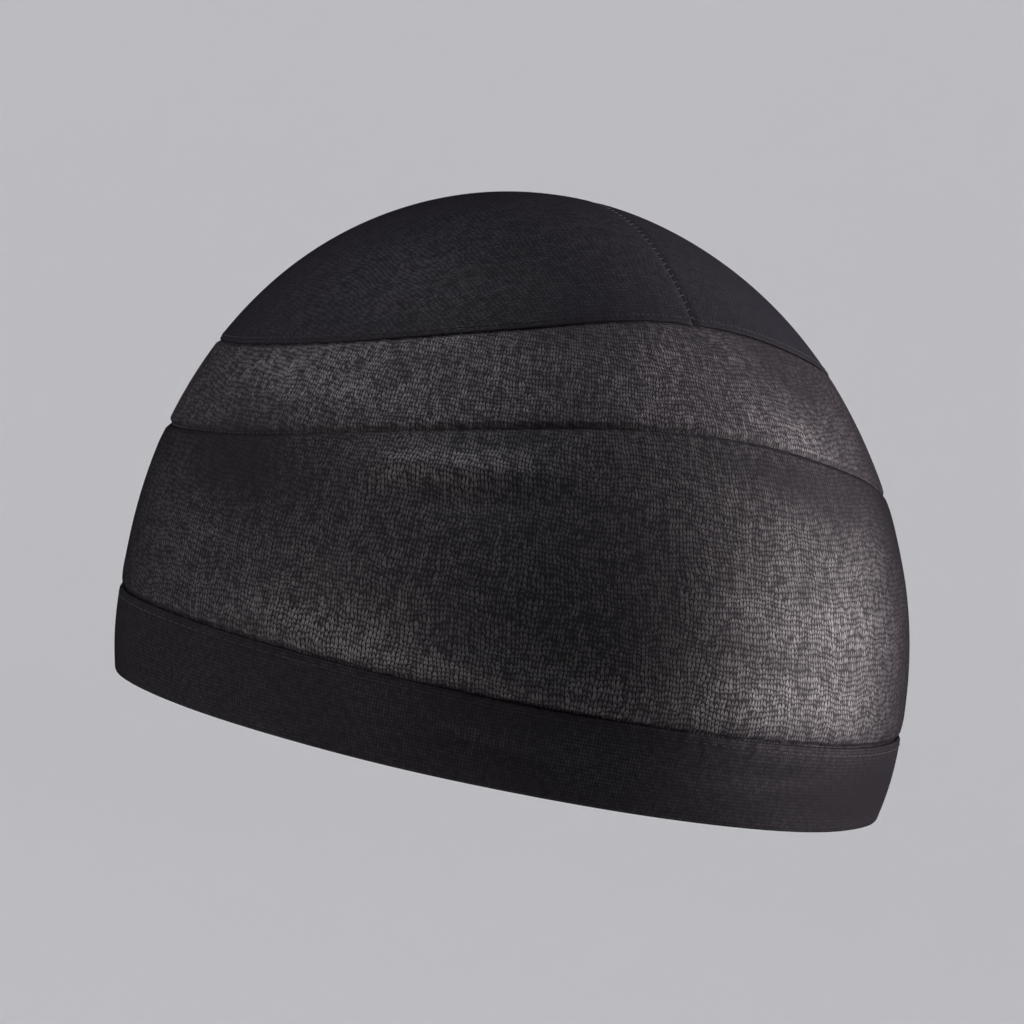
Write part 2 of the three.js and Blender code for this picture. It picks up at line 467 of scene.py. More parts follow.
class NodeBoard:
    """A small helper that adds nodes to one tree and joins them."""

    def __init__(self, tree: NodeTree) -> None:
        """Starts from an empty tree."""
        self.tree = tree
        tree.nodes.clear()

    def add(self, kind: str, given: dict[str | int, object], **options: object) -> Node:
        """Adds a node.

        Args:
            kind: its type.
            given: the sockets and values for its inputs, by their name or number.
            options: its own options.

        Returns:
            The node.
        """
        node = self.tree.nodes.new(kind)
        for name, value in options.items():
            setattr(node, name, value)
        for name, value in given.items():
            if isinstance(value, NodeSocket):
                self.tree.links.new(value, node.inputs[name])
            else:
                node.inputs[name].default_value = value
        return node

    def math(self, operation: str, *terms: object, clamp: bool = False) -> NodeSocket:
        """Works on sockets or numbers; clamp keeps the result from 0 to 1."""
        given = dict(enumerate(terms))
        return self.add("ShaderNodeMath", given, operation=operation, use_clamp=clamp).outputs[0]

    def vector(self, operation: str, *terms: object) -> NodeSocket:
        """Works on sockets or vectors."""
        given = dict(enumerate(terms))
        return self.add("ShaderNodeVectorMath", given, operation=operation).outputs[0]

    def times(self, value: NodeSocket, factor: object) -> NodeSocket:
        """Multiplies a value."""
        return self.math("MULTIPLY", value, factor)

    def times_plus(self, value: NodeSocket, factor: object, added: object) -> NodeSocket:
        """Multiplies a value and adds another to it."""
        return self.math("MULTIPLY_ADD", value, factor, added)

    def off_middle(self, value: NodeSocket) -> NodeSocket:
        """How far a value lies from the middle of its whole step: 0 there, 1 at the ends."""
        return self.math("ABSOLUTE", self.times_plus(self.math("FRACT", value), 2.0, -1.0))

    def domed(self, value: NodeSocket, power: float) -> NodeSocket:
        """A dome over a value: 1 where it is 0, falling off to 0 where it is 1."""
        return self.math("SUBTRACT", 1.0, self.math("POWER", value, power))

    def band(
        self, value: NodeSocket, low: float, high: float, to_low: float = 0.0, to_high: float = 1.0
    ) -> NodeSocket:
        """Maps the range from low to high smoothly onto the one from to_low to to_high."""
        given = dict(enumerate((value, low, high, to_low, to_high)))
        return self.add("ShaderNodeMapRange", given, interpolation_type="SMOOTHSTEP").outputs[0]

    def blend(self, factor: NodeSocket, low: Colour, high: Colour) -> NodeSocket:
        """Mixes two colours: the first where the factor is 0, the second where it is 1."""
        given = {"Factor": factor, "A": (*low, 1.0), "B": (*high, 1.0)}
        return self.add("ShaderNodeMix", given, data_type="RGBA").outputs["Result"]

    def noise(
        self, place: NodeSocket, scale: float, detail: float, output: str = "Fac"
    ) -> NodeSocket:
        """Adds a noise texture, read at a place, and gives the named output."""
        given = {"Vector": place, "Scale": scale, "Detail": detail}
        return self.add("ShaderNodeTexNoise", given).outputs[output]


class MaterialBoard(NodeBoard):
    """The board of a new material, with the object's own coordinates at hand."""

    def __init__(self, name: str) -> None:
        """Starts a material.

        Args:
            name: its name.
        """
        self.material = bpy.data.materials.new(name)
        self.material.use_nodes = True
        super().__init__(self.material.node_tree)
        self.place = self.add("ShaderNodeTexCoord", {}).outputs["Object"]

    def bump(self, height: NodeSocket, strength: float, distance: float) -> NodeSocket:
        """Turns a height into a normal; the distance is the depth of a height of 1."""
        given = {"Height": height, "Strength": strength, "Distance": distance}
        return self.add("ShaderNodeBump", given).outputs["Normal"]

    def finish(self, given: dict[str, object]) -> Material:
        """Adds the shader.

        Args:
            given: the sockets and values for its inputs, by their name.

        Returns:
            The finished material.
        """
        shader = self.add("ShaderNodeBsdfPrincipled", given)
        self.add("ShaderNodeOutputMaterial", {"Surface": shader.outputs["BSDF"]})
        return self.material


def knit_group() -> NodeTree:
    """The shared node group of knit stitches.

    Returns:
        A group that takes the Stitches, in wales and courses, the Place, in metres, and the
        Unevenness of the knit. It gives each stitch's Height, its Thread mask and a Spark that
        differs from stitch to stitch.
    """
    name = "knit_stitches"
    if name in bpy.data.node_groups:
        return bpy.data.node_groups[name]
    group = bpy.data.node_groups.new(name, "ShaderNodeTree")
    face = group.interface
    face.new_socket("Stitches", in_out="INPUT", socket_type="NodeSocketVector")
    face.new_socket("Place", in_out="INPUT", socket_type="NodeSocketVector")
    face.new_socket("Unevenness", in_out="INPUT", socket_type="NodeSocketFloat")
    for out in ("Height", "Thread", "Spark"):
        face.new_socket(out, in_out="OUTPUT", socket_type="NodeSocketFloat")
    board = NodeBoard(group)
    given = board.add("NodeGroupInput", {}).outputs
    drift = board.noise(given["Place"], scale=420.0, detail=1.0, output="Color")
    wander = board.noise(given["Place"], scale=70.0, detail=1.0, output="Color")
    strayed = board.vector("MULTIPLY_ADD", wander, (2.6, 2.6, 0.0), drift)
    strayed = board.vector("MULTIPLY", strayed, given["Unevenness"])
    moved = board.vector("ADD", given["Stitches"], strayed)
    across, up = board.add("ShaderNodeSeparateXYZ", {0: moved}).outputs[:2]
    leg_lean = 0.62
    off_wale = board.off_middle(across)
    leaning = board.times_plus(off_wale, leg_lean, up)
    ridge = board.domed(board.off_middle(leaning), 2.0)
    groove = board.band(off_wale, 0.0, 0.25, 0.72, 1.0)
    leg = board.times(board.domed(off_wale, 3.0), groove)
    stitch = {"X": board.math("FLOOR", across), "Y": board.math("FLOOR", leaning)}
    cell = board.add("ShaderNodeCombineXYZ", stitch).outputs[0]
    dice = board.add("ShaderNodeTexWhiteNoise", {"Vector": cell}, noise_dimensions="2D")
    runs = board.band(board.noise(moved, scale=0.55, detail=1.0), 0.36, 0.64)
    spark = board.times_plus(dice.outputs["Value"], 0.5, board.times(runs, 0.5))
    height = board.times(leg, board.times_plus(ridge, 0.7, 0.3))
    height = board.times(height, board.times_plus(spark, 0.4, 0.6))
    thread = board.band(height, 0.28, 0.70)
    board.add("NodeGroupOutput", {"Height": height, "Thread": thread, "Spark": spark})
    return group


@dataclass(frozen=True)
class KnitFinish:
    """A stretch knit of dark filament yarn."""

    name: str
    ground: Colour
    thread: Colour
    sparkle: float
    unevenness: float
    relief: float
    gloss_ior: float
    gloss_rough: float

    def build(self) -> Material:
        """Makes the material, with stitches that follow the cloth's own knit map.

        The yarn is lighter on the threads. The openness attribute lightens the colour and
        strengthens the gloss as painted highlights, and darkens them as painted shade. The gloss
        also fades where the cloth is seen edge on.

        Returns:
            The material.
        """
        board = MaterialBoard(self.name)
        on_map = board.add("ShaderNodeUVMap", {}, uv_map="knit").outputs["UV"]
        given = {"Stitches": on_map, "Place": board.place, "Unevenness": self.unevenness}
        knit = board.add("ShaderNodeGroup", given, node_tree=knit_group()).outputs
        # The openness attribute carries painted highlights and painted shade into the colour and
        # the gloss.
        opened_and_painted_light = board.add("ShaderNodeAttribute", {}, attribute_name="openness_and_painted_light").outputs["Fac"]
        clouds = board.noise(board.place, scale=55.0, detail=3.0)
        specks = board.noise(board.place, scale=900.0, detail=2.0)
        spark = board.math("POWER", knit["Spark"], 2.0)
        lively = board.times_plus(spark, 0.6, board.times(board.band(specks, 0.42, 0.62), 0.4))
        lit = board.times(knit["Thread"], board.band(clouds, 0.32, 0.68, 0.45, 1.0))
        lit = board.times(lit, board.times_plus(lively, self.sparkle, 0.25))
        # Painted highlights and shade: openness scales the thread colour here and the gloss below.
        lit = board.times(lit, board.times_plus(opened_and_painted_light, 1.8, 0.1))
        gloss = board.times(knit["Thread"], board.times_plus(knit["Spark"], 0.55, 0.45))
        gloss = board.times_plus(gloss, board.times_plus(opened_and_painted_light, 1.2, 0.02), 0.08)
        slant = board.add("ShaderNodeLayerWeight", {}).outputs["Facing"]
        facing = board.band(slant, 0.5, 0.97, 1.0, 0.0)
        relief = board.math("ADD", knit["Height"], board.times(specks, 0.25))
        return board.finish({
            "Base Color": board.blend(lit, self.ground, self.thread),
            "Roughness": 0.9,
            "Specular IOR Level": 0.0,
            "Coat Weight": board.math("MULTIPLY", gloss, facing, clamp=True),
            "Coat Roughness": self.gloss_rough,
            "Coat IOR": self.gloss_ior,
            "Normal": board.bump(relief, 1.0, self.relief),
        })


@dataclass(frozen=True)
class ThreadFinish:
    """Sewing thread with a fine twist."""

    name: str
    colour: Colour
    lighter: Colour

    def build(self) -> Material:
        """Makes the material, with a twist read from the object's own coordinates.

        Returns:
            The material.
        """
        board = MaterialBoard(self.name)
        twist = board.noise(board.place, scale=3000.0, detail=1.0)
        return board.finish({
            "Base Color": board.blend(twist, self.colour, self.lighter),
            "Roughness": board.band(twist, 0.3, 0.7, 0.62, 0.5),
            "Specular IOR Level": 0.06,
            "Normal": board.bump(twist, 0.6, 0.05 * MM),
        })


@dataclass(frozen=True)
class PaperFinish:
    """Matt pale paper with a faint tooth, for the studio's ground."""

    name: str
    dark: Colour
    pale: Colour

    def build(self) -> Material:
        """Makes the material.

        Returns:
            The material.
        """
        board = MaterialBoard(self.name)
        tooth = board.noise(board.place, scale=3.0, detail=2.0)
        colour = board.blend(tooth, self.dark, self.pale)
        return board.finish({"Base Color": colour, "Roughness": 0.9, "Specular IOR Level": 0.1})


@dataclass(frozen=True)
class Sheeting:
    """The relaxed cut of a cloth piece: its width and length, and its area unless an oblong."""

    width: float
    length: float
    area: float | None = None


def add_object(name: str, mesh: Mesh, material: Material) -> Object:
    """Links a mesh into the scene as a smooth-shaded object.

    Args:
        name: the object's name.
        mesh: its mesh.
        material: its one material.

    Returns:
        The object.
    """
    piece = bpy.data.objects.new(name, mesh)
    bpy.context.scene.collection.objects.link(piece)
    mesh.materials.append(material)
    mesh.shade_smooth()
    return piece


def mesh_object(name: str, bm: BMesh, material: Material) -> Object:
    """Makes a smooth-shaded object of a finished bmesh.

    Args:
        name: the object's name.
        bm: its mesh, which is freed.
        material: its one material.

    Returns:
        The object.
    """
    mesh = bpy.data.meshes.new(name)
    bm.to_mesh(mesh)
    bm.free()
    return add_object(name, mesh, material)


def wrap_grid(points: Array, chart: Array, openness_and_painted_light: Array) -> BMesh:
    """Bends a flat grid through rows of places and welds the edges that meet.

    Args:
        points: places, by row and by column.
        chart: the knit map's values at the same rows and columns.
        openness_and_painted_light: how far the knit is drawn open there, painted light and shade
            included.

    Returns:
        The welded mesh, facing outwards.
    """
    rows, columns = points.shape[0] - 1, points.shape[1] - 1
    bm = bmesh.new()
    knit = bm.loops.layers.uv.new("knit")
    opened_and_painted_light = bm.verts.layers.float.new("openness_and_painted_light")
    bmesh.ops.create_grid(bm, x_segments=columns, y_segments=rows, size=1.0)
    cells = {
        vert: (round((vert.co.y + 1.0) * 0.5 * rows), round((vert.co.x + 1.0) * 0.5 * columns))
        for vert in bm.verts
    }
    for face in bm.faces:
        for loop in face.loops:
            loop[knit].uv = chart[cells[loop.vert]]
    for vert, cell in cells.items():
        vert.co = points[cell]
        vert[opened_and_painted_light] = openness_and_painted_light[cell]
    bmesh.ops.remove_doubles(bm, verts=bm.verts[:], dist=WELD_GAP)
    bmesh.ops.recalc_face_normals(bm, faces=bm.faces[:])
    if bm.calc_volume(signed=True) < 0.0:
        bmesh.ops.reverse_faces(bm, faces=bm.faces[:])
    return bm


@dataclass
class ClothPiece:
    """A stretched cloth wall between its lowest and highest line.

    The lines run from the lowest to the highest, with a number of rows between each two.
    """

    form: CapForm
    finish: KnitFinish
    name: str
    node: str
    slot: str
    wall: float
    weave: Weave
    cut: Sheeting
    columns: int = 480
    round_steps: int = 4
    lines: tuple[SeamLine, ...] = field(default=(), init=False)
    rows: tuple[int, ...] = field(default=(), init=False)

    def outer_offset(self, at: Places) -> Array:
        """How far the outer face lies out from the form at each place."""
        raise NotImplementedError

    def turns(self) -> Array:
        """The columns' turns, from the middle of the back once round."""
        return np.linspace(-math.pi, math.pi, self.columns + 1)[None, :]

    def stations(self) -> Array:
        """Spaces the rows from the lowest line to the highest.

        Returns:
            The rows' arcs at each column.
        """
        arcs = [self.form.line_arc(line, self.turns()) for line in self.lines]
        rows = [arcs[0]]
        for low, high, count in zip(arcs, arcs[1:], self.rows):
            rows += [low + (high - low) * row / count for row in range(1, count + 1)]
        return np.concatenate(rows)

    def places(self, arc: Array) -> Places:
        """The places in the columns at arcs that are given by row and column."""
        return Places(np.broadcast_to(self.turns(), arc.shape), arc)

    def chart(self, arc: Array) -> Array:
        """The knit map: wales round the head and courses up the cloth."""
        wale = np.broadcast_to(self.turns() / FULL_TURN * self.weave.wales, arc.shape)
        return np.stack([wale, arc * self.form.rise / self.weave.course], axis=-1)

    def rounded(self, edge: Array, way: int) -> tuple[Array, Array]:
        """The half round that joins the wall's two faces past an edge.

        Args:
            edge: the edge's arcs.
            way: 1 for an upper edge, from the outside in, and -1 for a lower one, from the
                inside out.

        Returns:
            The arcs and the depths, by row and column.
        """
        half = 0.5 * self.wall
        angles = np.linspace(0.0, math.pi, self.round_steps + 1)[1:-1, None]
        arcs = edge + way * half * np.sin(angles) / self.form.rise
        return arcs, half * (1.0 - way * np.cos(angles)) * np.ones_like(arcs)

    def section(self) -> tuple[Array, Array]:
        """The wall's section at every column: up the outside, round the edge and down the inside.

        Returns:
            The arcs and the depths, by row and column, closed on the first row.
        """
        outside = self.stations()
        top, top_depths = self.rounded(outside[-1], 1)
        bottom, bottom_depths = self.rounded(outside[0], -1)
        arcs = [outside, top, outside[::-1], bottom, outside[:1]]
        depths = [
            np.zeros_like(outside),
            top_depths,
            np.full_like(outside, self.wall),
            bottom_depths,
            np.zeros_like(outside[:1]),
        ]
        return np.concatenate(arcs), np.concatenate(depths)

    def build_mesh(self) -> BMesh:
        """Makes the cloth.

        Returns:
            Its closed wall.
        """
        arcs, depths = self.section()
        at = self.places(arcs)
        points = self.form.skin(at, self.outer_offset(at) - depths)
        return wrap_grid(points, self.chart(arcs), self.form.openness_and_painted_light(at))

    def build(self) -> Object:
        """Returns:
            The finished object.
        """
        piece = mesh_object(self.name, self.build_mesh(), self.finish.build())
        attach(piece, BODY)
        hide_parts(self.node)
        return piece


HEM_LAP = 4.0 * MM
SEAM_LAP = 4.5 * MM
OVERLOCK_REACH = 3.0 * MM


@dataclass
class HemBand(ClothPiece):
    """The smooth doubled band, folded round at the rim and at its upper edge."""

    stand_out: float = 0.1 * MM
    fullness: float = 0.3 * MM

    def __post_init__(self) -> None:
        """Sets the band between its two folded edges."""
        fold = 0.5 * self.wall
        ground = SeamLine(0.0, 0.0, 0.0)
        self.lines = (ground.shifted(fold), self.form.band_top.shifted(-fold))
        self.rows = (26,)

    def outer_offset(self, at: Places) -> Array:
        """The band's outer face, slightly full between its edges."""
        share = np.clip(self.form.level(at.arc) / self.form.band_height, 0.0, 1.0)
        return self.stand_out + self.fullness * np.sin(math.pi * share)


@dataclass
class BodyPanel(ClothPiece):
    """The lower panel, under the band below and folded over the sheer panel above."""

    tuck_depth: float = 0.6 * MM
    rise: float = 1.2 * MM
    puff: float = 0.1 * MM
    turn_in: float = 0.5 * MM
    turn_width: float = 1.5 * MM
    draw_in: float = 0.2 * MM
    draw_width: float = 5.0 * MM
    edge_zone: float = 2.2 * MM

    def __post_init__(self) -> None:
        """Sets the panel from under the band to the cross seam."""
        band_top = self.form.band_top
        self.lines = (
            band_top.shifted(-HEM_LAP),
            band_top,
            band_top.shifted(self.rise),
            CROSS_SEAM.shifted(-self.edge_zone),
            CROSS_SEAM.shifted(-0.5 * self.wall),
        )
        self.rows = (3, 6, 44, 9)

    def outer_offset(self, at: Places) -> Array:
        """The panel's outer face: it rises from the band and turns in at the cross seam.

        Args:
            at: the places.

        Returns:
            The face's distance out from the form at each place.
        """
        over_band = self.form.above(self.form.band_top, at)
        risen = eased(over_band, self.rise)
        puff_level, puff_reach = 2.2 * self.rise, 2.0 * self.rise
        puff = self.puff * risen * np.exp(-((over_band - puff_level) / puff_reach) ** 2)
        under_seam = -self.form.above(CROSS_SEAM, at)
        turned = self.turn_in * (1.0 - eased(under_seam, self.turn_width))
        nearest = np.minimum(under_seam, over_band)
        drawn = self.draw_in * (1.0 - eased(nearest, self.draw_width))
        return puff - self.tuck_depth * (1.0 - risen) - turned - drawn


@dataclass
class SheerPanel(ClothPiece):
    """The lighter panel between the cross seam and the crown."""

    depth: float = 0.1 * MM
    lower_depth: float = 1.15 * MM
    upper_depth: float = 0.62 * MM
    shoulder: float = -0.1 * MM
    steep: float = 1.3 * MM
    settle: float = 6.0 * MM

    def __post_init__(self) -> None:
        """Sets the panel from under the body panel to under the crown."""
        edge_zone = 1.2 * self.steep
        self.lines = (
            CROSS_SEAM.shifted(-SEAM_LAP),
            CROSS_SEAM,
            CROSS_SEAM.shifted(edge_zone),
            CROWN_EDGE.shifted(-edge_zone),
            CROWN_EDGE,
            CROWN_EDGE.shifted(SEAM_LAP),
        )
        self.rows = (3, 8, 24, 8, 3)

    def outer_offset(self, at: Places) -> Array:
        """The panel's outer face: a shoulder at each edge, turned in under its neighbour.

        Args:
            at: the places.

        Returns:
            The face's distance out from the form at each place.
        """
        over_seam = self.form.above(CROSS_SEAM, at)
        under_crown = -self.form.above(CROWN_EDGE, at)
        low = self.edge_lift(over_seam, self.lower_depth)
        high = self.edge_lift(under_crown, self.upper_depth)
        return low + high - self.depth

    def edge_lift(self, inside: Array, deepest: float) -> Array:
        """How far the face lies above its usual depth beside one edge.

        Args:
            inside: distances in from the edge.
            deepest: the depth at and beyond the edge.

        Returns:
            The lift at each place, 0 well inside the edge.
        """
        out = (deepest + self.shoulder) * eased(inside, self.steep)
        back = (self.shoulder + self.depth) * eased(inside - self.steep, self.settle)
        return self.depth - deepest + out - back


@dataclass
class CrownHalf(ClothPiece):
    """One half of the crown, sewn to the other along the closing seam.

    The seam cuts are the places of extra rows beside the closing seam, in millimetres from it.
    """

    half: Side = Side.LEFT
    seam_x: float = 5.0 * MM
    seam_gap: float = 0.12 * MM
    turn_in: float = 0.14 * MM
    turn_width: float = 1.4 * MM
    edge_zone: float = 4.0 * MM
    dome_rows: int = 44
    valley_depth: float = 0.25 * MM
    valley_width: float = 0.9 * MM
    seam_cuts: tuple[float, ...] = (0.35, 0.7, 1.1, 1.7, 2.6)

    def __post_init__(self) -> None:
        """Sets the crown's lowest rows; the others go on to the pole."""
        self.lines = (CROWN_EDGE.shifted(0.5 * self.wall), CROWN_EDGE.shifted(self.edge_zone))
        self.rows = (12,)

    def outer_offset(self, at: Places) -> Array:
        """The crown's outer face, on the form itself and turned in at its edge."""
        over_edge = self.form.above(CROWN_EDGE, at)
        return -self.turn_in * (1.0 - eased(over_edge, self.turn_width))

    def stations(self) -> Array:
        """Spaces the rows from the crown's edge to the pole.

        Returns:
            The rows' arcs at each column.
        """
        lower = super().stations()
        shares = np.linspace(0.0, 1.0, self.dome_rows + 1)[1:, None]
        return np.concatenate([lower, lower[-1] + (CROWN_ARC - lower[-1]) * shares])

    def section(self) -> tuple[Array, Array]:
        """The wall's section from the inner pole, round the edge, to the outer pole.

        Returns:
            The arcs and the depths, by row and column.
        """
        outside = self.stations()
        edge, edge_depths = self.rounded(outside[0], -1)
        depths = [np.full_like(outside, self.wall), edge_depths, np.zeros_like(outside)]
        return np.concatenate([outside[::-1], edge, outside]), np.concatenate(depths)

    def chart(self, arc: Array) -> Array:
        """The knit map, with wales that run up each side to the closing seam.

        Args:
            arc: the rows' arcs, by row and column.

        Returns:
            The wales and courses, in the last axis.
        """
        place = self.form.point(self.places(arc))
        above = place[..., 2] - self.form.widest
        across = np.arctan2(place[..., 0], above) * self.form.rise
        along = np.arctan2(place[..., 1] - self.form.axis_y, above) * self.form.rise
        wale = self.form.girth / self.weave.wales
        return np.stack([along / wale, across / self.weave.course], axis=-1)

    def build_mesh(self) -> BMesh:
        """Makes the dome, cuts it at the closing seam and turns the cut edge down.

        Returns:
            The half's closed wall.
        """
        bm = super().build_mesh()
        way = float(self.half.value)
        for distance in self.seam_cuts:
            self.cut_plane(bm, self.seam_x + way * distance * MM)
        self.cut_plane(bm, self.seam_x + 0.5 * way * self.seam_gap, clear=True)
        root = Vector((0.0, self.form.axis_y, self.form.widest))
        for vert in bm.verts:
            away = abs(vert.co.x - self.seam_x) / self.valley_width
            vert.co += (root - vert.co).normalized() * self.valley_depth * math.exp(-away * away)
        bmesh.ops.recalc_face_normals(bm, faces=bm.faces[:])
        return bm

    def cut_plane(self, bm: BMesh, x: float, clear: bool = False) -> None:
        """Cuts the dome along a plane beside the closing seam.

        Args:
            bm: the dome.
            x: where the plane crosses the X axis.
            clear: removes what lies past the plane and closes the cut.
        """
        cut = bmesh.ops.bisect_plane(
            bm,
            geom=bm.verts[:] + bm.edges[:] + bm.faces[:],
            dist=WELD_GAP,
            plane_co=(x, 0.0, 0.0),
            plane_no=(-float(self.half.value), 0.0, 0.0),
            clear_outer=clear,
        )
        if clear:
            edges = [item for item in cut["geom_cut"] if isinstance(item, BMEdge)]
            bmesh.ops.edgenet_fill(bm, edges=edges)


def threads_object(name: str, runs: list[Array], radius: float, material: Material) -> Object:
    """Makes many short threads as one joined mesh.

    Args:
        name: the piece's name.
        runs: the places that each thread passes, in order.
        radius: the thread's radius.
        material: its finish.

    Returns:
        The mesh object.
    """
    curve = bpy.data.curves.new(name + "_path", "CURVE")
    curve.dimensions = "3D"
    curve.bevel_depth = radius
    curve.bevel_resolution = 1
    curve.use_fill_caps = True
    for run in runs:
        spline = curve.splines.new("POLY")
        spline.points.add(len(run) - 1)
        for point, place in zip(spline.points, run):
            point.co = (*place, 1.0)
    maker = bpy.data.objects.new(name + "_path", curve)
    bpy.context.scene.collection.objects.link(maker)
    evaluated = maker.evaluated_get(bpy.context.evaluated_depsgraph_get())
    mesh = bpy.data.meshes.new_from_object(evaluated)
    bpy.data.objects.remove(maker)
    bpy.data.curves.remove(curve)
    mesh.name = name
    mesh.materials.clear()
    return add_object(name, mesh, material)


def sew_on(piece: Object) -> Object:
    """Declares a sewn piece, which moves with the cap's body.

    Args:
        piece: the piece.

    Returns:
        The same piece.
    """
    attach(piece, BODY)
    return piece


@dataclass
class SeamThread:
    """Thread sewn along a line round the cap."""

    form: CapForm
    cloth: ClothPiece
    name: str
    slot: str
    line: SeamLine
    material: Material
    pitch: float = 2.4 * MM
    radius: float = 0.14 * MM

    @property
    def count(self) -> int:
        """How many stitches go round the head."""
        return round(self.form.girth / self.pitch)

    def runs(self) -> list[Array]:
        """The places that each thread passes."""
        raise NotImplementedError

    def build(self) -> Object:
        """Sews the thread, and returns it as one object."""
        piece = threads_object(self.name, self.runs(), self.radius, self.material)
        return sew_on(piece)


@dataclass
class StitchRow(SeamThread):
    """A row of short stitches on the outside of the cloth."""

    radius: float = 0.08 * MM
    filled: float = 0.72

    def runs(self) -> list[Array]:
        """Lays each stitch on the cloth, with its ends sunk in.

        Returns:
            The places that each stitch passes.
        """
        shares = np.array([-0.5, -0.3, 0.3, 0.5]) * self.filled
        lift = np.array([-1.2, 0.55, 0.55, -1.2]) * self.radius
        turn = (np.arange(self.count)[:, None] + shares) * FULL_TURN / self.count
        at = Places(turn, self.form.line_arc(self.line, turn))
        return list(self.form.skin(at, self.cloth.outer_offset(at) + lift))


@dataclass
class Overlock(SeamThread):
    """A zigzag of thread that binds a raw edge inside the cap, from its line upwards."""

    reach: float = OVERLOCK_REACH

    def runs(self) -> list[Array]:
        """Winds the one thread along the cloth's inner face.

        Returns:
            The places that it passes, as the only run.
        """
        step = np.arange(2 * self.count + 1)
        turn = step * FULL_TURN / (2 * self.count)
        arc = self.form.line_arc(self.line, turn) + (step % 2) * self.reach / self.form.rise
        at = Places(turn, arc)
        inside = self.cloth.outer_offset(at) - self.cloth.wall - 0.6 * self.radius
        return [self.form.skin(at, inside)]


ALLOWANCE_SECTION = (
    (1.0, 0.0), (1.0, 0.5), (1.0, 0.93), (0.5, 1.0),
    (-0.5, 1.0), (-1.0, 0.93), (-1.0, 0.5), (-1.0, 0.0), (1.0, 0.0),
)


@dataclass
class ClosingSeam:
    """The closing seam: the allowance inside that closes it, and the stitches across it.

    The corners of the allowance's section are given across it, in half widths, and down it, in
    shares of its depth.
    """

    form: CapForm
    crown: CrownHalf
    slot: str
    material: Material
    pitch: float = 2.2 * MM
    span: float = 1.5 * MM
    radius: float = 0.09 * MM
    allowance: float = 4.0 * MM
    allowance_wall: float = 0.9 * MM
    allowance_step: float = 1.2 * MM
    clearance: float = 0.02 * MM
    end_margin: float = 3.0 * MM
    turn_tries: int = 10
    arc_tries: int = 26

    def points(self, y: Array, x: Array, depth: Array) -> Array:
        """Finds points at depths below the crown's outer surface.

        The turn that leads to each point is found by tries, and for each turn the arc is found
        by halving.

        Args:
            y: places along the seam.
            x: places across it, of the same shape.
            depth: depths in from the surface as it is drawn in at the seam.

        Returns:
            Their X, Y and Z in the last axis.
        """
        pole = self.form.axis_y + self.form.crown_setback
        wanted = np.arctan2(x, pole - y)
        target = np.hypot(x, y - pole)
        turn = wanted
        below_edge = 0.05
        for _ in range(self.turn_tries):
            low = self.form.line_arc(CROWN_EDGE, turn) - below_edge
            high = np.full_like(low, CROWN_ARC)
            for _ in range(self.arc_tries):
                middle = 0.5 * (low + high)
                found = self.form.point(Places(turn, middle))
                reach = np.hypot(found[..., 0], found[..., 1] - pole)
                low = np.where(reach > target, middle, low)
                high = np.where(reach > target, high, middle)
            missed = wanted - np.arctan2(found[..., 0], pole - found[..., 1])
            turn = turn + np.arctan2(np.sin(missed), np.cos(missed))
        surface = self.form.skin(Places(turn, low), np.zeros_like(low))
        inward = np.array([0.0, self.form.axis_y, self.form.widest]) - surface
        inward /= np.linalg.norm(inward, axis=-1, keepdims=True)
        away = (x - self.crown.seam_x) / self.crown.valley_width
        sink = self.crown.valley_depth * np.exp(-(away**2))
        return surface + inward * (sink + depth)[..., None]

    def along(self, step: float) -> Array:
        """Spaces even places along the seam, clear of the crown's edge.

        Args:
            step: about how far apart they are.

        Returns:
            Their Y.
        """
        low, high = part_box("crown_right")
        start, end = low[1] + self.end_margin, high[1] - self.end_margin
        return np.linspace(start, end, round((end - start) / step) + 1)

    def build_allowance(self) -> Object:
        """Makes the two turned-in edges, pressed together under the seam and closed all round.

        Returns:
            The allowance as one object.
        """
        across, down = np.array(ALLOWANCE_SECTION).T[..., None]
        along = self.along(self.allowance_step)[None, :]
        shape = (len(across), along.shape[1])
        y = np.broadcast_to(along, shape)
        x = np.broadcast_to(self.crown.seam_x + 0.5 * self.allowance_wall * across, shape)
        depth = self.crown.wall + self.clearance + self.allowance * down
        depth = np.broadcast_to(depth, shape)
        weave = self.crown.weave
        wale = self.form.girth / weave.wales
        chart = np.stack([y / wale, depth / weave.course], axis=-1)
        openness_and_painted_light = np.full(shape, self.form.usual_openness)
        bm = wrap_grid(self.points(y, x, depth), chart, openness_and_painted_light)
        bmesh.ops.edgenet_fill(bm, edges=[edge for edge in bm.edges if edge.is_boundary])
        bmesh.ops.recalc_face_normals(bm, faces=bm.faces[:])
        return mesh_object("closing_seam_allowance", bm, bpy.data.materials[CROWN_KNIT.name])

    def build_stitches(self) -> Object:
        """Lays the stitches over the seam's valley.

        Returns:
            The stitches as one object.
        """
        shares = np.array([-0.5, -0.25, 0.25, 0.5])
        y = self.along(self.pitch)[:, None] + shares * 0.5 * self.pitch
        x = np.broadcast_to(self.crown.seam_x + shares * self.span, y.shape)
        bite = np.broadcast_to(np.array([1.2, -0.4, -0.4, 1.2]) * self.radius, y.shape)
        runs = list(self.points(y, x, bite))
        return threads_object("closing_seam_stitches", runs, self.radius, self.material)

    def build(self) -> list[Object]:
        """Builds the seam, and returns the allowance and the stitches."""
        made = [self.build_allowance(), self.build_stitches()]
        return [sew_on(piece) for piece in made]


def direction(azimuth: float, elevation: float) -> Vector:
    """The way from the cap to a light or the camera.

    Args:
        azimuth: degrees round the cap, 0 in front of it and 90 at the wearer's left.
        elevation: degrees above the rim plane.

    Returns:
        A vector of length 1.
    """
    turn, tilt = math.radians(azimuth), math.radians(elevation)
    level = math.cos(tilt)
    return Vector((math.sin(turn) * level, -math.cos(turn) * level, math.sin(tilt)))


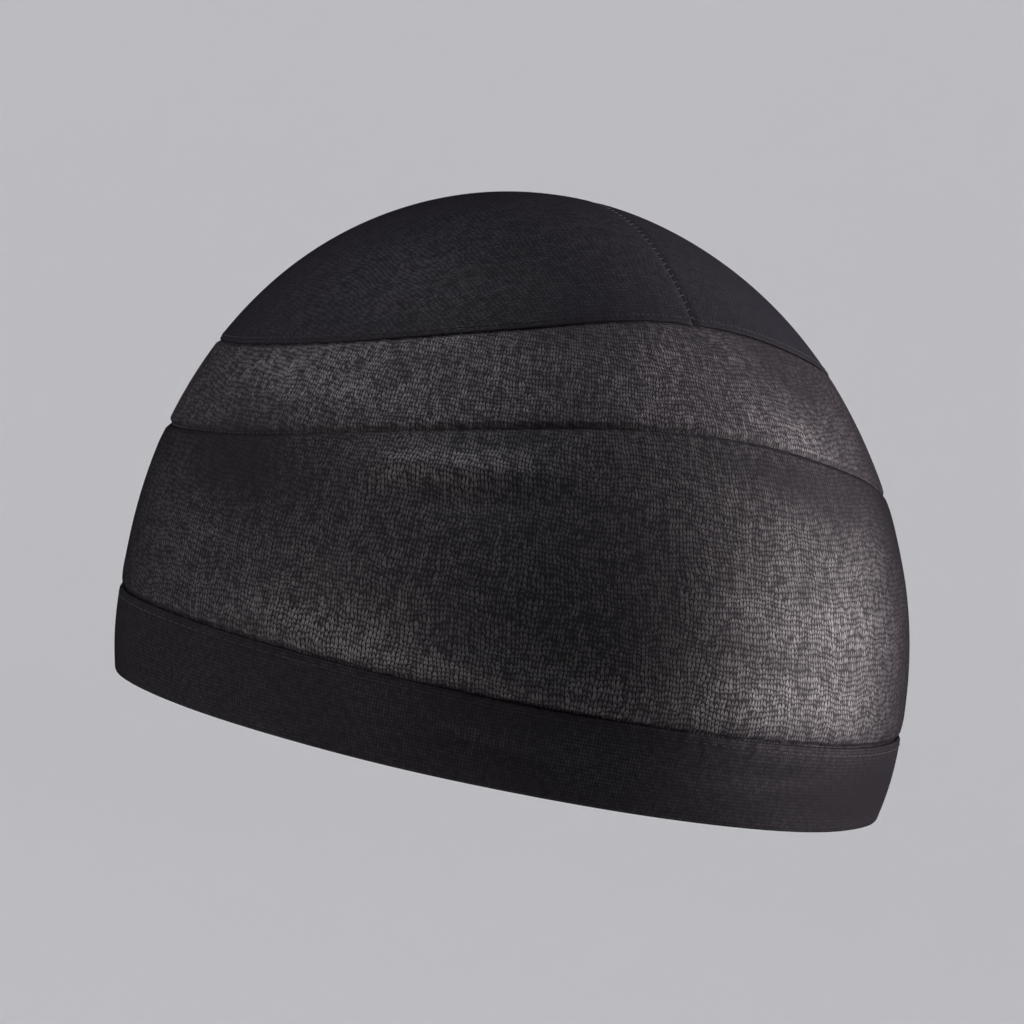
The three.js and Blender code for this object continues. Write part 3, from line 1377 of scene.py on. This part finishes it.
@dataclass(frozen=True)
class SoftLight:
    """A soft rectangular light that faces the cap; its power is in watts, its angles degrees."""

    name: str
    azimuth: float
    elevation: float
    size: tuple[float, float]
    power: float
    colour: Colour
    distance: float = 1.3
    spread: float = 70.0

    def build(self, aim: Vector) -> None:
        """Hangs the light up.

        Args:
            aim: the place that it faces.
        """
        light = bpy.data.lights.new(self.name, "AREA")
        light.shape = "RECTANGLE"
        light.size, light.size_y = self.size
        light.energy = self.power
        light.color = self.colour
        light.spread = math.radians(self.spread)
        lamp = bpy.data.objects.new(self.name, light)
        away = direction(self.azimuth, self.elevation)
        lamp.location = aim + away * self.distance
        lamp.rotation_euler = away.to_track_quat("Z", "Y").to_euler()
        lamp.visible_camera = False
        bpy.context.scene.collection.objects.link(lamp)


@dataclass(frozen=True)
class PhotoCamera:
    """The camera at the photograph's angle to the cap, close enough to fill the frame.

    The angles are degrees, the lengths metres, and the sensor is in millimetres. The shifts
    move the frame's middle away from the place aimed at.
    """

    azimuth: float = -22.87
    elevation: float = 3.93
    roll: float = -10.11
    distance: float = 1.5
    frame_width: float = 0.2119
    shift_left: float = 3.34 * MM
    shift_down: float = 3.43 * MM
    sensor: float = 36.0

    def build(self, aim: Vector) -> None:
        """Places the camera.

        Args:
            aim: the place that it faces, apart from the shifts.
        """
        azimuth, roll = math.radians(self.azimuth), math.radians(self.roll)
        back = direction(self.azimuth, self.elevation)
        across = Vector((math.cos(azimuth), math.sin(azimuth), 0.0))
        upright = back.cross(across)
        right = across * math.cos(roll) - upright * math.sin(roll)
        top = across * math.sin(roll) + upright * math.cos(roll)
        camera = bpy.data.cameras.new("camera")
        camera.sensor_width = self.sensor
        camera.lens = self.sensor * self.distance / self.frame_width
        camera.clip_start, camera.clip_end = 0.05, 50.0
        stand = bpy.data.objects.new("camera", camera)
        centre = aim - right * self.shift_left - top * self.shift_down
        turned = Matrix((right, top, back)).transposed().to_4x4()
        stand.matrix_world = Matrix.Translation(centre + back * self.distance) @ turned
        bpy.context.scene.collection.objects.link(stand)
        bpy.context.scene.camera = stand


@dataclass
class Studio:
    """The pale ground, the soft lights and the camera."""

    aim: Vector
    floor_level: float = -0.32
    floor_radius: float = 2.7
    sweep_radius: float = 1.1
    sweep_steps: int = 10
    wall_height: float = 3.6
    spin_steps: int = 96
    air: Colour = (0.96, 0.96, 1.0)
    air_strength: float = 0.68

    def build(self) -> None:
        """Sets up the ground, the lights, the ambient light and the camera."""
        self.build_ground()
        for light in LIGHTS:
            light.build(self.aim)
        self.set_world()
        PhotoCamera().build(self.aim)

    def build_ground(self) -> None:
        """Spins a pale floor that sweeps up into a round wall."""
        outline = [(0.0, 0.0), (self.floor_radius, 0.0)]
        for step in range(1, self.sweep_steps + 1):
            angle = 0.5 * math.pi * step / self.sweep_steps
            out = self.floor_radius + self.sweep_radius * math.sin(angle)
            outline.append((out, self.sweep_radius * (1.0 - math.cos(angle))))
        outline.append((self.floor_radius + self.sweep_radius, self.wall_height))
        bm = bmesh.new()
        verts = [bm.verts.new((x, 0.0, self.floor_level + z)) for x, z in outline]
        edges = [bm.edges.new(pair) for pair in zip(verts, verts[1:])]
        bmesh.ops.spin(
            bm,
            geom=verts + edges,
            cent=(0.0, 0.0, 0.0),
            axis=(0.0, 0.0, 1.0),
            angle=FULL_TURN,
            steps=self.spin_steps,
            use_merge=True,
        )
        bmesh.ops.remove_doubles(bm, verts=bm.verts[:], dist=10.0 * WELD_GAP)
        mesh_object("studio_floor", bm, PALE_GROUND.build())

    def set_world(self) -> None:
        """Gives the studio an even, neutral ambient light."""
        world = bpy.data.worlds.new("studio_air")
        world.use_nodes = True
        backdrop = world.node_tree.nodes["Background"].inputs
        backdrop["Color"].default_value = (*self.air, 1.0)
        backdrop["Strength"].default_value = self.air_strength
        bpy.context.scene.world = world


WARM = (1.0, 0.89, 0.92)
COOL = (1.0, 0.95, 1.0)
LIGHTS = (
    SoftLight("key_light", 71.0, 13.0, (0.7, 0.8), 26.0, WARM),
    SoftLight("left_light", -124.0, 62.0, (0.7, 0.85), 3.8, COOL),
    SoftLight("low_light", -92.0, -12.0, (0.5, 0.3), 3.2, WARM),
)

BODY_KNIT = KnitFinish(
    name="body_knit",
    ground=(0.0038, 0.0036, 0.0042),
    thread=(0.0115, 0.0106, 0.0112),
    sparkle=1.1,
    unevenness=1.6,
    relief=0.12 * MM,
    gloss_ior=1.36,
    gloss_rough=0.64,
)
SHEER_KNIT = replace(
    BODY_KNIT,
    name="sheer_knit",
    ground=(0.0050, 0.0047, 0.0054),
    thread=(0.037, 0.0340, 0.0359),
)
# The crown is dark knit. Its bluer ground and thread colours are a painted tint of the cool light
# that it reflects.
CROWN_KNIT = replace(
    BODY_KNIT,
    name="crown_knit",
    ground=(0.0050, 0.0048, 0.0060),
    thread=(0.0085, 0.0081, 0.0100),
    sparkle=0.5,
    relief=0.03 * MM,
    gloss_ior=1.15,
    gloss_rough=0.6,
)
HEM_CLOTH = replace(
    CROWN_KNIT,
    name="hem_cloth",
    ground=(0.0040, 0.0038, 0.0044),
    thread=(0.0105, 0.0100, 0.0112),
    unevenness=0.2,
    gloss_ior=1.12,
)
DARK_THREAD = ThreadFinish("dark_thread", (0.0022, 0.0022, 0.0025), (0.005, 0.0049, 0.0053))
GREY_THREAD = ThreadFinish("grey_thread", (0.005, 0.0048, 0.005), (0.011, 0.0102, 0.0105))
PALE_GROUND = PaperFinish("pale_ground", (0.86, 0.86, 0.87), (0.88, 0.88, 0.885))


def build_cloth(form: CapForm) -> list[ClothPiece]:
    """Lists the cap's cloth pieces, from the rim to the crown.

    Args:
        form: the form that they are stretched over.

    Returns:
        The pieces, not yet built.
    """
    weave = Weave(wales=650, course=1.05 * MM)
    fine = Weave(wales=820, course=0.7 * MM)
    crown_wall = 0.42 * MM
    return [
        HemBand(form, HEM_CLOTH, "hem_band", "rim_band", "hem_band", 1.0 * MM, fine,
                Sheeting(0.46, 0.0175)),
        BodyPanel(form, BODY_KNIT, "body_knit", "body_panel", "body_knit", 0.6 * MM, weave,
                  Sheeting(0.45, 0.056)),
        SheerPanel(form, SHEER_KNIT, "sheer_knit", "upper_panel", "sheer_knit", 0.5 * MM, weave,
                   Sheeting(0.36, 0.033)),
        CrownHalf(form, CROWN_KNIT, "crown_knit_right", "crown_right", "crown_knit", crown_wall,
                  weave, Sheeting(0.138, 0.075, area=0.00813), half=Side.RIGHT),
        CrownHalf(form, CROWN_KNIT, "crown_knit_left", "crown_left", "crown_knit", crown_wall,
                  weave, Sheeting(0.138, 0.054, area=0.00585), half=Side.LEFT),
    ]


def build_threads(form: CapForm, cloth: dict[str, ClothPiece]) -> dict[str, list[Object]]:
    """Sews the seams.

    Args:
        form: the form that the cap is stretched over.
        cloth: the cloth pieces by name.

    Returns:
        The objects sewn to each cloth piece, by its name.
    """
    dark, grey = DARK_THREAD.build(), GREY_THREAD.build()
    hem, body = cloth["hem_band"], cloth["body_knit"]
    sheer, crown = cloth["sheer_knit"], cloth["crown_knit_left"]
    rows = [
        StitchRow(form, hem, "hem_stitches", "hem_band", form.band_top.shifted(-1.5 * MM), dark),
        StitchRow(form, sheer, "cross_seam_stitches", "sheer_knit",
                  CROSS_SEAM.shifted(0.35 * MM), grey, pitch=1.8 * MM),
        StitchRow(form, crown, "crown_edge_stitches", "crown_knit",
                  CROWN_EDGE.shifted(1.3 * MM), dark, pitch=2.0 * MM),
        Overlock(form, body, "hem_overlock", "hem_band", form.band_top.shifted(-HEM_LAP), dark),
        Overlock(form, sheer, "cross_seam_overlock", "sheer_knit",
                 CROSS_SEAM.shifted(-SEAM_LAP), dark),
        Overlock(form, sheer, "crown_overlock", "sheer_knit",
                 CROWN_EDGE.shifted(SEAM_LAP - OVERLOCK_REACH), dark),
    ]
    sewn = {name: [] for name in cloth}
    for row in rows:
        sewn[row.cloth.name].append(row.build())
    sewn[crown.name] += ClosingSeam(form, crown, "crown_knit", dark).build()
    return sewn


def report(piece: Object) -> None:
    """Writes a piece's size to the log."""
    size = ", ".join(f"{edge / MM:.1f}" for edge in piece.dimensions)
    LOG.info("%s: %d faces, %s mm", piece.name, len(piece.data.polygons), size)


def main() -> None:
    """Builds the studio, the cap's cloth and its seams, in that order."""
    logging.basicConfig(level=logging.INFO, format="%(name)s %(message)s")
    bpy.context.scene.view_settings.view_transform = "Standard"
    form = CapForm.from_frame()
    middle_level = 0.45 * form.height
    Studio(aim=Vector((0.0, form.axis_y, middle_level))).build()
    cloth = {piece.name: piece for piece in build_cloth(form)}
    made = {name: piece.build() for name, piece in cloth.items()}
    sewn = build_threads(form, cloth)
    for name, piece in cloth.items():
        for item in [made[name], *sewn[name]]:
            report(item)


if __name__ == "__main__":
    main()
